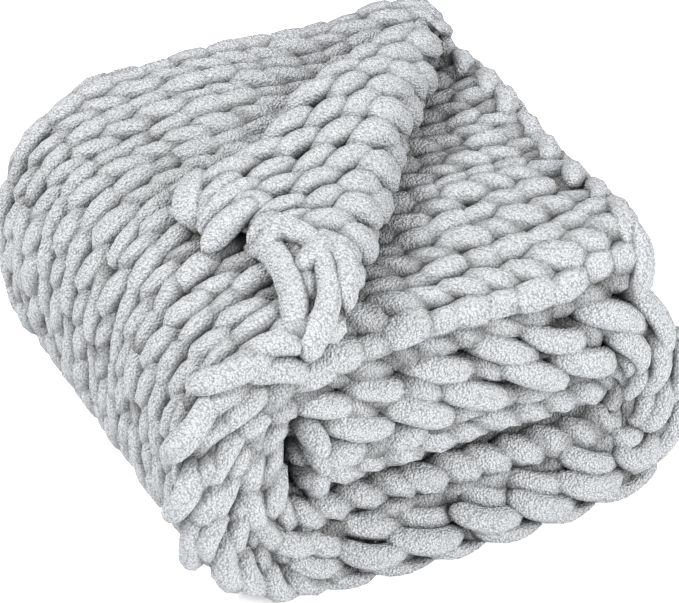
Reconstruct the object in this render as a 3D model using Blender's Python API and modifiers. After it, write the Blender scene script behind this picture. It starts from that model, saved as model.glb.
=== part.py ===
"""A chunky knit blanket, folded in thirds both ways, with one corner turned back.

The blanket is one sheet. Across its width (v) it is folded into three layers, a C in the Y-Z plane.
The folded strip then goes round along its length (u), a flat spiral in the X-Z plane: along the top to
the left, down the left side, along the ground, up the right side and back inside the bundle.
Metres, +Z up, the end face with the layers at -Y, the origin on the ground under the middle.
"""
import math
from typing import NamedTuple

import bmesh
import bpy
import numpy as np

# Cloth and its layers
PITCH = 0.030
THICK = 0.0265
HALF = THICK / 2
CLEARANCE = 0.003

# Bundle in plan, before it is centred
TOP_END_X = 0.207
LEFT_X = -0.125
RIGHT_X = 0.155
INNER_END_X = -0.132
FRONT_Y = -0.2165
BACK_Y = 0.2125
CENTRE_X = -0.01318
CENTRE_Y = 0.00817

# The strip is three layers thick, so its middle layer runs at these heights
TOP_LEVEL = 7.5 * PITCH
BOTTOM_LEVEL = 1.5 * PITCH
INNER_LEVEL = 4.5 * PITCH
REST_DROP = PITCH / 2 - HALF

# The layers of the left side stand further apart than those of the stack
LEFT_SPREAD = 0.12

# The turned-back corner, on the top: where the cloth leaves the top, and where the corner's tip lands
ROLL_FRONT = (-0.138, FRONT_Y)
ROLL_BACK = (TOP_END_X, 0.172)
ROLL_RADIUS = 0.0155
TIP = (-0.161, -0.044)
SETTLED_AT = 0.6

# How far the corner's outer edge is drawn in between its ends
BOW = 0.20

# Mesh steps
STRAIGHT_STEP = 0.042
TURN_STEP = 0.021
TIGHT_STEP = 0.0135
ROLL_CUTS = 6


class Turn(NamedTuple):
    """One side of the bundle, where the strip's middle layer follows a superellipse."""

    centre_x: float
    centre_z: float
    reach: float
    rise: float
    power: float
    from_angle: float


class Plump(NamedTuple):
    """A soft swelling of the bundle: how much it lifts, where, and how wide it is."""

    lift: float
    x: float
    y: float
    wide_x: float
    wide_y: float


class Push(NamedTuple):
    """A soft push of the bundle's side: how far it goes in x and y, where, and how wide it is."""

    push_x: float
    push_y: float
    x: float
    y: float
    wide_x: float
    wide_y: float


class Lean(NamedTuple):
    """How far the stack leans and skews, for each metre of x, y or z."""

    x_by_y: float
    x_by_z: float
    y_by_x: float
    y_by_z: float


class Wave(NamedTuple):
    """A slow unevenness: its size, and its wavelengths and phase."""

    size: float
    length_x: float
    length_y: float
    phase: float


LEFT_TURN = Turn(LEFT_X, 4.5 * PITCH, 0.092, 3 * PITCH, 2.6, 90)
RIGHT_TURN = Turn(RIGHT_X, 3 * PITCH, 0.050, 1.5 * PITCH, 2.9, -90)
PLUMPS = (
    Plump(0.020, -0.05, 0.10, 0.20, 0.22),
    Plump(0.010, -0.17, -0.22, 0.10, 0.15),
)
WAVES = (
    Wave(0.0030, 0.23, 0.31, 0.4),
    Wave(0.0022, -0.17, 0.21, 2.1),
)
LIFT_FROM, LIFT_FULL = 0.04, 0.29

# The settled bundle: its proportions, its lean, and where it is pushed in or out
SETTLED = (0.960, 0.949, 1.111)
LEAN = Lean(-0.0097, -0.0336, 0.0233, 0.0468)
CORNER_PLUMPS = (
    Plump(-0.0132, -0.158, 0.2015, 0.20, 0.15),
    Plump(0.0240, 0.192, -0.1985, 0.15, 0.15),
)
PUSHES = (
    Push(0.0, -0.0208, 0.192, -0.2185, 0.18, 0.10),
    Push(0.0, 0.0170, -0.208, 0.2185, 0.20, 0.15),
    Push(-0.0135, 0.0, 0.242, -0.1985, 0.10, 0.20),
)

BLANKET_GREY = (0.56, 0.58, 0.60, 1.0)


def smooth_step(value, start, end):
    """0 before start, 1 after end, smooth between."""
    share = min(max((value - start) / (end - start), 0.0), 1.0)
    return share * share * (3 - 2 * share)


def turn_points(turn, count=400):
    """Points round one side, through 180 degrees."""
    angle = np.radians(turn.from_angle + np.linspace(0, 180, count))
    across = np.sign(np.cos(angle)) * np.abs(np.cos(angle)) ** (2 / turn.power)
    upward = np.sign(np.sin(angle)) * np.abs(np.sin(angle)) ** (2 / turn.power)
    return np.stack([turn.centre_x + turn.reach * across, turn.centre_z + turn.rise * upward], axis=-1)


def run_points(start_x, end_x, level, count=200):
    """Points along one straight third."""
    return np.stack([np.linspace(start_x, end_x, count), np.full(count, level)], axis=-1)


def spine_points():
    """The middle layer's path in (x, z), and the length along it at each point and at each change."""
    runs = (
        run_points(TOP_END_X, LEFT_X, TOP_LEVEL),
        turn_points(LEFT_TURN),
        run_points(LEFT_X, RIGHT_X, BOTTOM_LEVEL),
        turn_points(RIGHT_TURN),
        run_points(RIGHT_X, INNER_END_X, INNER_LEVEL),
    )
    points = np.concatenate([runs[0]] + [run[1:] for run in runs[1:]])
    steps = np.linalg.norm(np.diff(points, axis=0), axis=1)
    length = np.concatenate([[0.0], np.cumsum(steps)])
    last = np.cumsum([len(run) - 1 for run in runs])
    return points, length, [0.0] + [float(length[index]) for index in last]


SPINE, SPINE_LENGTH, SPINE_STOPS = spine_points()
LENGTH = SPINE_STOPS[-1]
LEFT_SIDE = (SPINE_STOPS[1], SPINE_STOPS[2])

# Lengths along v at which the layers change: outer layer, back fold, inner layer, front fold, middle layer
BACK_FOLD_Y = BACK_Y - PITCH
FRONT_FOLD_Y = FRONT_Y + PITCH / 2 + HALF + CLEARANCE
OUTER_END = BACK_FOLD_Y - FRONT_Y
BACK_FOLD_END = OUTER_END + math.pi * PITCH
INNER_END = BACK_FOLD_END + BACK_FOLD_Y - FRONT_FOLD_Y
FRONT_FOLD_END = INNER_END + math.pi * PITCH / 2
WIDTH = FRONT_FOLD_END + BACK_FOLD_Y - FRONT_FOLD_Y - CLEARANCE


def spine_at(u):
    """Point and outward normal of the middle layer's path at length u."""
    reach = 0.005
    middle = min(max(u, reach), LENGTH - reach)
    before = [np.interp(middle - reach, SPINE_LENGTH, SPINE[:, axis]) for axis in (0, 1)]
    after = [np.interp(middle + reach, SPINE_LENGTH, SPINE[:, axis]) for axis in (0, 1)]
    run_x, run_z = after[0] - before[0], after[1] - before[1]
    size = math.hypot(run_x, run_z)
    point = [np.interp(u, SPINE_LENGTH, SPINE[:, axis]) for axis in (0, 1)]
    return point, (run_z / size, -run_x / size)


def layer_at(v):
    """Where flat position v lies in the stack: its y, and its offset outward from the middle layer."""
    if v < OUTER_END:
        return FRONT_Y + v, PITCH
    if v < BACK_FOLD_END:
        angle = (v - OUTER_END) / PITCH
        return BACK_FOLD_Y + PITCH * math.sin(angle), PITCH * math.cos(angle)
    if v < INNER_END:
        return BACK_FOLD_Y - (v - BACK_FOLD_END), -PITCH
    if v < FRONT_FOLD_END:
        radius = PITCH / 2
        angle = (v - INNER_END) / radius
        return FRONT_FOLD_Y - radius * math.sin(angle), -radius - radius * math.cos(angle)
    return FRONT_FOLD_Y + (v - FRONT_FOLD_END), 0.0


def roll_frame():
    """The turned corner's start, its direction along the roll and its direction towards the corner."""
    start, end = np.array(ROLL_FRONT), np.array(ROLL_BACK)
    along = (end - start) / np.linalg.norm(end - start)
    return start, along, np.array([along[1], -along[0]])


def turn_back(x, y):
    """Plan position and height, above the top layer, of a point of the top layer once it is turned."""
    start, along, toward = roll_frame()
    place = np.array([x, y]) - start
    distance = place @ toward
    if distance <= 0:
        return x, y, 0.0
    rolled = math.pi * ROLL_RADIUS
    if distance < rolled:
        angle = distance / ROLL_RADIUS
        plan = start + (place @ along) * along + ROLL_RADIUS * math.sin(angle) * toward
        return plan[0], plan[1], ROLL_RADIUS - ROLL_RADIUS * math.cos(angle)
    corner = np.array([TOP_END_X, FRONT_Y]) - start
    tip = np.array(TIP) - start
    share = (distance - rolled) / (corner @ toward - rolled)
    front_edge = distance * along[0] / toward[0]
    gathered = (place @ along - front_edge) * (1 - BOW * 4 * share * (1 - share))
    shift = share * ((tip - corner) @ along)
    plan = start + (front_edge + gathered + shift) * along + share * (tip @ toward) * toward
    height = 2 * ROLL_RADIUS
    settled = THICK + CLEARANCE
    return plan[0], plan[1], height - (height - settled) * min(share / SETTLED_AT, 1.0)


def near(x, y, spot):
    """1 at a spot of the plan, falling softly to 0 around it."""
    return math.exp(-((x - spot.x) / spot.wide_x) ** 2 - ((y - spot.y) / spot.wide_y) ** 2)


def settle(x, y, z):
    """Swell the bundle, make it uneven and leaning, more with height, and keep its ground side flat."""
    amount = smooth_step(z, LIFT_FROM, LIFT_FULL)
    lift = sum(bump.lift * near(x, y, bump) for bump in PLUMPS)
    sway = sum(
        wave.size * math.sin(2 * math.pi * (x / wave.length_x + y / wave.length_y) + wave.phase)
        for wave in WAVES
    )
    z += amount * (lift + sway)
    high = min(max((z - HALF) / LIFT_FULL, 0.0), 1.0)
    settled_x = SETTLED[0] * x + LEAN.x_by_y * y + LEAN.x_by_z * z
    settled_y = SETTLED[1] * y + LEAN.y_by_x * x + LEAN.y_by_z * z
    raised = high * sum(bump.lift * near(x, y, bump) for bump in CORNER_PLUMPS)
    settled_z = HALF + SETTLED[2] * (z - HALF) + raised
    settled_x += sum(push.push_x * near(x, y, push) for push in PUSHES)
    settled_y += sum(push.push_y * near(x, y, push) for push in PUSHES)
    return settled_x - CENTRE_X, settled_y - CENTRE_Y, settled_z


def fold(u, v):
    """World position of the sheet's flat point (u, v)."""
    y, offset = layer_at(v)
    x_flat = TOP_END_X - u
    if v < OUTER_END and u < LEFT_SIDE[0] + THICK * 2:
        x_flat, y, height = turn_back(x_flat, y)
        offset += height
        u = TOP_END_X - x_flat
    (x, z), (normal_x, normal_z) = spine_at(u)
    middle = (LEFT_SIDE[0] + LEFT_SIDE[1]) / 2
    spread = 1 + LEFT_SPREAD * math.exp(-((u - middle) / (LEFT_SIDE[1] - middle)) ** 4)
    x += offset * normal_x * spread
    z += offset * normal_z - REST_DROP
    return settle(x, y, z)


def stops(ends, steps):
    """Positions along one direction: each stretch between two ends is split evenly by its own step."""
    places = [ends[0]]
    for start, end, step in zip(ends[:-1], ends[1:], steps):
        count = max(2, round((end - start) / step))
        places.extend(np.linspace(start, end, count + 1)[1:])
    return places


def add_flat_grid(mesh):
    """The flat sheet as a grid, with closer lines where it goes round."""
    long_stops = stops(
        SPINE_STOPS,
        (STRAIGHT_STEP, TURN_STEP, STRAIGHT_STEP, TIGHT_STEP, STRAIGHT_STEP),
    )
    wide_stops = stops(
        (0.0, OUTER_END, BACK_FOLD_END, INNER_END, FRONT_FOLD_END, WIDTH),
        (STRAIGHT_STEP, TIGHT_STEP, STRAIGHT_STEP, TIGHT_STEP / 2, STRAIGHT_STEP),
    )
    columns, rows = len(long_stops) - 1, len(wide_stops) - 1
    bmesh.ops.create_grid(mesh, x_segments=columns, y_segments=rows, size=0.5)
    for vert in mesh.verts:
        vert.co.x = long_stops[round((vert.co.x + 0.5) * columns)]
        vert.co.y = wide_stops[round((vert.co.y + 0.5) * rows)]


def cut_roll_lines(mesh):
    """Cut the flat top layer along the lines that bend when the corner is turned back."""
    start, _, toward = roll_frame()
    for index in range(ROLL_CUTS + 1):
        through = start + toward * (math.pi * ROLL_RADIUS * index / ROLL_CUTS)
        faces = [
            face for face in mesh.faces
            if all(vert.co.y < OUTER_END + 1e-6 and vert.co.x < LEFT_SIDE[0] + THICK * 3 for vert in face.verts)
        ]
        edges = {edge for face in faces for edge in face.edges}
        verts = {vert for face in faces for vert in face.verts}
        bmesh.ops.bisect_plane(
            mesh,
            geom=[*verts, *edges, *faces],
            dist=1e-5,
            plane_co=(TOP_END_X - through[0], through[1] - FRONT_Y, 0.0),
            plane_no=(-toward[0], toward[1], 0.0),
        )


def fabric_material():
    """Soft grey yarn."""
    material = bpy.data.materials.new("Grey chenille")
    material.use_nodes = True
    shader = material.node_tree.nodes["Principled BSDF"]
    shader.inputs["Base Color"].default_value = BLANKET_GREY
    shader.inputs["Roughness"].default_value = 0.95
    shader.inputs["Metallic"].default_value = 0.0
    return material


def add_blanket(collection):
    """The folded sheet, with its thickness."""
    mesh = bmesh.new()
    add_flat_grid(mesh)
    cut_roll_lines(mesh)
    for vert in mesh.verts:
        vert.co = fold(vert.co.x, vert.co.y)
    bmesh.ops.recalc_face_normals(mesh, faces=mesh.faces)
    data = bpy.data.meshes.new("blanket")
    mesh.to_mesh(data)
    mesh.free()
    data.materials.append(fabric_material())
    data.shade_smooth()
    blanket = bpy.data.objects.new("blanket", data)
    collection.objects.link(blanket)
    thickness = blanket.modifiers.new("Thickness", 'SOLIDIFY')
    thickness.thickness = THICK
    thickness.offset = 0.0
    thickness.use_even_offset = True


def main():
    for item in list(bpy.data.objects):
        bpy.data.objects.remove(item, do_unlink=True)
    collection = bpy.data.collections.new("Chunky knit blanket")
    bpy.context.scene.collection.children.link(collection)
    add_blanket(collection)


main()
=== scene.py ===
"""Looks of the chunky knit blanket: chenille yarn knitted course by course on the folded cloth."""

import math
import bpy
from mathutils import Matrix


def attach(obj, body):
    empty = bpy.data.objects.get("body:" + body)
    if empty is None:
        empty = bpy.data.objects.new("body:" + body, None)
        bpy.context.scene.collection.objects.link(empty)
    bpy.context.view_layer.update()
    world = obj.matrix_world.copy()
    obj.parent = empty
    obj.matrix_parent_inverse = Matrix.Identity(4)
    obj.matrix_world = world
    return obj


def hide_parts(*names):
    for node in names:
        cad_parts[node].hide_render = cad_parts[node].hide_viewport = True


bl_info = {
    "name": "Folded Chunky Knit Blanket",
    "version": (1, 0, 0),
    "blender": (4, 5, 0),
    "location": "View3D > Sidebar > Blanket",
    "description": "Knits a chenille throw over its folded cloth, with borders, and sets a plain stage",
    "category": "Object",
}

from typing import NamedTuple

import bmesh
import bpy
import numpy as np
from bpy.props import FloatProperty, FloatVectorProperty, IntProperty, PointerProperty
from mathutils import Vector
from mathutils.bvhtree import BVHTree

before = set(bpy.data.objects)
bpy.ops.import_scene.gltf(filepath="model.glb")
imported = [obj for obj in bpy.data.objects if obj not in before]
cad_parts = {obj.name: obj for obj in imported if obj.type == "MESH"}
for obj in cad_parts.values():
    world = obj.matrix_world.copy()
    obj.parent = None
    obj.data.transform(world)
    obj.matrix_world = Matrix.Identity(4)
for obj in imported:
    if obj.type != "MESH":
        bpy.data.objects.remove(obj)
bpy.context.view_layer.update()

# Cloth and its layers, the same sizes as the solid's
PITCH = 0.030
THICK = 0.0265
HALF = THICK / 2
CLEARANCE = 0.003

# Bundle in plan, before it is centred
TOP_END_X = 0.207
LEFT_X = -0.125
RIGHT_X = 0.155
INNER_END_X = -0.132
FRONT_Y = -0.2165
BACK_Y = 0.2125
CENTRE_X = -0.01318
CENTRE_Y = 0.00817

TOP_LEVEL = 7.5 * PITCH
BOTTOM_LEVEL = 1.5 * PITCH
INNER_LEVEL = 4.5 * PITCH
REST_DROP = PITCH / 2 - HALF
LEFT_SPREAD = 0.12
GROUND_GIVE = 0.005

# The turned-back corner
ROLL_FRONT = (-0.138, FRONT_Y)
ROLL_BACK = (TOP_END_X, 0.172)
ROLL_RADIUS = 0.0155
TIP = (-0.161, -0.044)
SETTLED_AT = 0.6
DRAWN_FROM = 0.440
DRAWN = 0.75
FAR_DROP, FAR_FROM, FAR_FULL = 0.013, 0.36, 0.46
BOW = 0.20

# Random draws: where each part starts
SEED_OUTER, SEED_INNER, SEED_CORNER, SEED_BORDER = 11, 23, 37, 51

# A knitted course: points in each wale, and how its strays carry over from course to course
SAMPLES = 16
DRIFT_KEPT, DRIFT_NEW = 0.5, 0.7
WANDER_KEPT, WANDER_NEW = 0.8, 0.45
DEPTH_STRAY = 0.7
LOOP_FLATTEN = 0.12
LOOP_THINNING = 0.05
THICK_STRAY = (-0.13, 0.11)

# A single leg of yarn, in a border or a purl bump: shares of its length, depth and thickness
LEG_POINTS = 15
LEG_LENGTH_STRAY, LEG_DEPTH_STRAY = 0.08, 0.15
LEG_BEND, LEG_BEND_LEVEL = 0.22, 0.12
LEG_RISE, LEG_DIVE, ARCH_POWER = 2.2, 1.2, 0.8
LEG_THICK, LEG_THICK_STRAY, LEG_LUMPS = 0.98, 0.06, 0.05
LEG_END = 0.15
LINK_STRAY, BUMP_STRAY = 0.12, 0.26

# Laying the knit on the cloth
SQUASH = 0.95
LEG_HEIGHT = 0.007
SEAM_OVERLAP = 0.09
TOP_SHOWS = 0.13
CLOTH_GRID = (150, 130)
WRAP_STEPS, TABLE_STEPS = 1200, 900

# How open each point lies, which the material turns into painted shade in the knit's gaps
RAYS, RAY_REACH, RAY_START = 8, 0.045, 0.0012

# Lengths along v at which the layers change
BACK_FOLD_Y = BACK_Y - PITCH
FRONT_FOLD_Y = FRONT_Y + PITCH / 2 + HALF + CLEARANCE
OUTER_END = BACK_FOLD_Y - FRONT_Y
BACK_FOLD_END = OUTER_END + math.pi * PITCH
INNER_END = BACK_FOLD_END + BACK_FOLD_Y - FRONT_FOLD_Y
FRONT_FOLD_END = INNER_END + math.pi * PITCH / 2
WIDTH = FRONT_FOLD_END + BACK_FOLD_Y - FRONT_FOLD_Y - CLEARANCE


class Turn(NamedTuple):
    """One side of the bundle, where the strip's middle layer follows a superellipse."""

    centre_x: float
    centre_z: float
    reach: float
    rise: float
    power: float
    from_angle: float


class Plump(NamedTuple):
    """A soft swelling of the bundle: how much it lifts, where, and how wide it is."""

    lift: float
    x: float
    y: float
    wide_x: float
    wide_y: float


class Push(NamedTuple):
    """A soft push of the bundle's side: how far it goes in x and y, where, and how wide it is."""

    push_x: float
    push_y: float
    x: float
    y: float
    wide_x: float
    wide_y: float


class Lean(NamedTuple):
    """How far the stack leans and skews, for each metre of x, y or z."""

    x_by_y: float
    x_by_z: float
    y_by_x: float
    y_by_z: float


class Wave(NamedTuple):
    """A slow unevenness: its size, and its wavelengths and phase."""

    size: float
    length_x: float
    length_y: float
    phase: float


LEFT_TURN = Turn(LEFT_X, 4.5 * PITCH, 0.092, 3 * PITCH, 2.6, 90)
RIGHT_TURN = Turn(RIGHT_X, 3 * PITCH, 0.050, 1.5 * PITCH, 2.9, -90)
PLUMPS = (
    Plump(0.020, -0.05, 0.10, 0.20, 0.22),
    Plump(0.010, -0.17, -0.22, 0.10, 0.15),
)
WAVES = (
    Wave(0.0030, 0.23, 0.31, 0.4),
    Wave(0.0022, -0.17, 0.21, 2.1),
)
LIFT_FROM, LIFT_FULL = 0.04, 0.29

# The settled bundle: its proportions, its lean, and where it is pushed in or out
SETTLED = (0.960, 0.949, 1.111)
LEAN = Lean(-0.0097, -0.0336, 0.0233, 0.0468)
CORNER_PLUMPS = (
    Plump(-0.0132, -0.158, 0.2015, 0.20, 0.15),
    Plump(0.0240, 0.192, -0.1985, 0.15, 0.15),
)
LOOSE_PLUMPS = (
    Plump(-0.014, 0.13, 0.20, 0.13, 0.12),
)
PUSHES = (
    Push(0.0, -0.0208, 0.192, -0.2185, 0.18, 0.10),
    Push(0.0, 0.0170, -0.208, 0.2185, 0.20, 0.15),
    Push(-0.0135, 0.0, 0.242, -0.1985, 0.10, 0.20),
)


def smooth_step(value, start, end):
    """0 before start, 1 after end, smooth between."""
    share = np.clip((value - start) / (end - start), 0.0, 1.0)
    return share * share * (3 - 2 * share)


def turn_points(turn, count=400):
    """Points round one side, through 180 degrees."""
    angle = np.radians(turn.from_angle + np.linspace(0, 180, count))
    across = np.sign(np.cos(angle)) * np.abs(np.cos(angle)) ** (2 / turn.power)
    upward = np.sign(np.sin(angle)) * np.abs(np.sin(angle)) ** (2 / turn.power)
    return np.stack([turn.centre_x + turn.reach * across, turn.centre_z + turn.rise * upward], axis=-1)


def run_points(start_x, end_x, level, count=200):
    """Points along one straight third."""
    return np.stack([np.linspace(start_x, end_x, count), np.full(count, level)], axis=-1)


def spine_points():
    """The middle layer's path in (x, z), and the length along it at each point and at each change."""
    runs = (
        run_points(TOP_END_X, LEFT_X, TOP_LEVEL),
        turn_points(LEFT_TURN),
        run_points(LEFT_X, RIGHT_X, BOTTOM_LEVEL),
        turn_points(RIGHT_TURN),
        run_points(RIGHT_X, INNER_END_X, INNER_LEVEL),
    )
    points = np.concatenate([runs[0]] + [run[1:] for run in runs[1:]])
    steps = np.linalg.norm(np.diff(points, axis=0), axis=1)
    length = np.concatenate([[0.0], np.cumsum(steps)])
    last = np.cumsum([len(run) - 1 for run in runs])
    return points, length, [0.0] + [float(length[index]) for index in last]


SPINE, SPINE_LENGTH, SPINE_STOPS = spine_points()
LENGTH = SPINE_STOPS[-1]
LEFT_SIDE = (SPINE_STOPS[1], SPINE_STOPS[2])


def spine_at(u):
    """Points and outward normals of the middle layer's path at lengths u, straight on past its ends."""
    reach = 0.005
    held = np.clip(u, 0.0, LENGTH)
    middle = np.clip(u, reach, LENGTH - reach)
    before = [np.interp(middle - reach, SPINE_LENGTH, SPINE[:, axis]) for axis in (0, 1)]
    after = [np.interp(middle + reach, SPINE_LENGTH, SPINE[:, axis]) for axis in (0, 1)]
    run_x, run_z = after[0] - before[0], after[1] - before[1]
    size = np.hypot(run_x, run_z)
    run_x, run_z = run_x / size, run_z / size
    x = np.interp(held, SPINE_LENGTH, SPINE[:, 0]) + (u - held) * run_x
    z = np.interp(held, SPINE_LENGTH, SPINE[:, 1]) + (u - held) * run_z
    return x, z, run_z, -run_x


def layer_at(v, w):
    """Where flat position v, raised by w on the knit side, lies in the stack: y, and outward offset."""
    angle_back = np.clip((v - OUTER_END) / PITCH, 0.0, math.pi)
    radius = PITCH / 2
    angle_front = np.clip((v - INNER_END) / radius, 0.0, math.pi)
    cases = [v < OUTER_END, v < BACK_FOLD_END, v < INNER_END, v < FRONT_FOLD_END]
    y = np.select(cases, [
        FRONT_Y + v,
        BACK_FOLD_Y + (PITCH + w) * np.sin(angle_back),
        BACK_FOLD_Y - (v - BACK_FOLD_END),
        FRONT_FOLD_Y - (radius + w) * np.sin(angle_front),
    ], FRONT_FOLD_Y + (v - FRONT_FOLD_END))
    offset = np.select(cases, [
        PITCH + w,
        (PITCH + w) * np.cos(angle_back),
        -PITCH - w,
        -radius - (radius + w) * np.cos(angle_front),
    ], w)
    return y, offset


def near(x, y, spot):
    """1 at a spot of the plan, falling softly to 0 around it."""
    return np.exp(-((x - spot.x) / spot.wide_x) ** 2 - ((y - spot.y) / spot.wide_y) ** 2)


def settle(x, y, z):
    """Swell the bundle, make it uneven and leaning, more with height, and keep its ground side flat."""
    amount = smooth_step(z, LIFT_FROM, LIFT_FULL)
    lift = sum(bump.lift * near(x, y, bump) for bump in PLUMPS)
    sway = sum(
        wave.size * np.sin(2 * math.pi * (x / wave.length_x + y / wave.length_y) + wave.phase)
        for wave in WAVES
    )
    z = z + amount * (lift + sway)
    high = np.clip((z - HALF) / LIFT_FULL, 0.0, 1.0)
    settled_x = SETTLED[0] * x + LEAN.x_by_y * y + LEAN.x_by_z * z
    settled_y = SETTLED[1] * y + LEAN.y_by_x * x + LEAN.y_by_z * z
    raised = high * sum(bump.lift * near(x, y, bump) for bump in CORNER_PLUMPS + LOOSE_PLUMPS)
    settled_z = HALF + SETTLED[2] * (z - HALF) + raised
    settled_x = settled_x + sum(push.push_x * near(x, y, push) for push in PUSHES)
    settled_y = settled_y + sum(push.push_y * near(x, y, push) for push in PUSHES)
    return settled_x - CENTRE_X, settled_y - CENTRE_Y, on_ground(settled_z)


def on_ground(z):
    """Heights with the yarn pressed flat where it rests: none goes under the ground."""
    low = z < GROUND_GIVE
    return np.where(low, GROUND_GIVE * np.exp((np.minimum(z, GROUND_GIVE) - GROUND_GIVE) / GROUND_GIVE), z)


def on_wrap(u, y, offset):
    """World positions of points at length u round the bundle, at y, and offset outward."""
    x, z, normal_x, normal_z = spine_at(u)
    middle = (LEFT_SIDE[0] + LEFT_SIDE[1]) / 2
    spread = 1 + LEFT_SPREAD * np.exp(-((u - middle) / (LEFT_SIDE[1] - middle)) ** 4)
    x = x + offset * normal_x * spread
    z = z + offset * normal_z - REST_DROP
    return np.stack(settle(x, y, z), axis=-1)


def roll_frame():
    """The turned corner's start, its direction along the roll and its direction towards the corner."""
    start, end = np.array(ROLL_FRONT), np.array(ROLL_BACK)
    along = (end - start) / np.linalg.norm(end - start)
    return start, along, np.array([along[1], -along[0]])


ROLL_START, ROLL_ALONG, ROLL_TOWARD = roll_frame()
ROLLED = math.pi * ROLL_RADIUS


def flap_height(share):
    """Height of the turned cloth's middle above the top layer, from its roll to its tip."""
    settled = THICK + CLEARANCE
    return 2 * ROLL_RADIUS - (2 * ROLL_RADIUS - settled) * np.clip(share / SETTLED_AT, 0.0, 1.0)


def let_down(along):
    """How far the turned corner hangs down towards its far end, at lengths along its roll."""
    return FAR_DROP * smooth_step(along, FAR_FROM, FAR_FULL)


def fold_sheet(u, v, w):
    """World positions of the whole sheet's flat points (u, v), raised by w on the knit side."""
    y, offset = layer_at(v, w)
    x = TOP_END_X - u
    place = np.stack([x, FRONT_Y + v], axis=-1) - ROLL_START
    distance, along = place @ ROLL_TOWARD, place @ ROLL_ALONG
    turned = (v < OUTER_END) & (u < LEFT_SIDE[0] + THICK * 2) & (distance > 0)
    corner = np.array([TOP_END_X, FRONT_Y]) - ROLL_START
    tip = np.array(TIP) - ROLL_START
    share = np.clip((distance - ROLLED) / (corner @ ROLL_TOWARD - ROLLED), 0.0, None)
    front_edge = distance * ROLL_ALONG[0] / ROLL_TOWARD[0]
    along = front_edge + (along - front_edge) * (1 - BOW * 4 * share * (1 - share))
    drawn = DRAWN * smooth_step(distance, 0.0, ROLLED)
    along = along - drawn * np.clip(along - DRAWN_FROM, 0.0, None)
    lowered = let_down(along) * smooth_step(distance, 0.0, ROLLED)
    angle = np.clip(distance / ROLL_RADIUS, 0.0, math.pi)
    rolling = distance < ROLLED
    side = np.where(rolling, (ROLL_RADIUS - w) * np.sin(angle), share * (tip @ ROLL_TOWARD))
    height = np.where(rolling, ROLL_RADIUS - (ROLL_RADIUS - w) * np.cos(angle), flap_height(share) - w)
    along = along + share * ((tip - corner) @ ROLL_ALONG)
    plan = ROLL_START + along[..., None] * ROLL_ALONG + side[..., None] * ROLL_TOWARD
    u = np.where(turned, TOP_END_X - plan[..., 0], u)
    y = np.where(turned, plan[..., 1], y)
    offset = np.where(turned, PITCH + height - lowered, offset)
    return on_wrap(u, y, offset)


class Course(NamedTuple):
    """One yarn path in its patch's own flat frame: across, along, raised, and the yarn's thickness."""

    across: np.ndarray
    along: np.ndarray
    raised: np.ndarray
    thick: np.ndarray


def eased(values, place):
    """Values at whole places, eased between them."""
    low = np.clip(np.floor(place).astype(int), 0, len(values) - 2)
    share = smooth_step(place - low, 0.0, 1.0)
    return values[low] * (1 - share) + values[low + 1] * share


def knit(settings, rng, courses, wales, height, width):
    """Yarn paths of a plain knit patch: each course is one yarn that loops once in each wale."""
    loop = settings.loop_height * height / settings.course_height
    stray = settings.unevenness
    turns = np.arange(wales * SAMPLES + 1) / SAMPLES
    phase = 2 * math.pi * turns
    keys, quarters = wales * 4 + 2, turns * 4
    drift = np.zeros(keys)
    wander = np.zeros(wales + 2)
    paths = []
    for course in range(courses):
        drift = DRIFT_KEPT * drift + rng.uniform(-stray, stray, keys) * DRIFT_NEW
        wander = WANDER_KEPT * wander + rng.uniform(-stray, stray, wales + 2) * WANDER_NEW
        across = turns * width + settings.leg_lean * width * np.sin(2 * phase)
        across = across + eased(drift, quarters) + eased(wander, turns)
        across = across + settings.leg_skew * 0.5 * loop * np.cos(phase)
        along = height / 2 + course * height + 0.5 * loop * np.cos(phase)
        along = along + eased(rng.uniform(-stray, stray, keys), quarters)
        raised = -settings.loop_depth * (np.cos(2 * phase) - LOOP_FLATTEN * np.cos(6 * phase))
        raised = raised + eased(rng.uniform(-stray, stray, keys), quarters) * DEPTH_STRAY
        thick = 1 - LOOP_THINNING * np.cos(2 * phase) + eased(rng.uniform(*THICK_STRAY, keys), quarters)
        paths.append(Course(across, along, raised, thick))
    return paths


def about_one(rng, stray):
    """A factor of 1, more or less."""
    return rng.uniform(1 - stray, 1 + stray)


def leg(settings, rng, across, along, length, turn, depth, stray_turn=LINK_STRAY):
    """One stretch of yarn that rises out of the knit and dives back into it, turned from its row."""
    share = 0.5 * np.sin(np.linspace(-0.5, 0.5, LEG_POINTS) * math.pi)
    stray = settings.unevenness
    turn = turn + rng.uniform(-stray_turn, stray_turn)
    run = share * length * about_one(rng, LEG_LENGTH_STRAY)
    bend = (share * share - LEG_BEND_LEVEL) * length * rng.uniform(-LEG_BEND, LEG_BEND)
    across = across + run * math.sin(turn) + bend * math.cos(turn) + rng.uniform(-stray, stray)
    along = along + run * math.cos(turn) - bend * math.sin(turn) + rng.uniform(-stray, stray)
    arch = np.cos(math.pi * share).clip(0.0)
    raised = depth * about_one(rng, LEG_DEPTH_STRAY) * (LEG_RISE * arch ** ARCH_POWER - LEG_DIVE)
    own = LEG_THICK + rng.uniform(-LEG_THICK_STRAY, LEG_THICK_STRAY)
    thick = rounded(share) * (own + eased(rng.uniform(-LEG_LUMPS, LEG_LUMPS, 6), (share + 0.5) * 4))
    return Course(across, along, raised, thick)


def rounded(share):
    """The yarn's thickness along a stretch with round ends, from share = -0.5 to 0.5."""
    return LEG_END + (1 - LEG_END) * np.sqrt(1 - (2 * np.abs(share)).clip(0.0, 1.0) ** 6)


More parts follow.
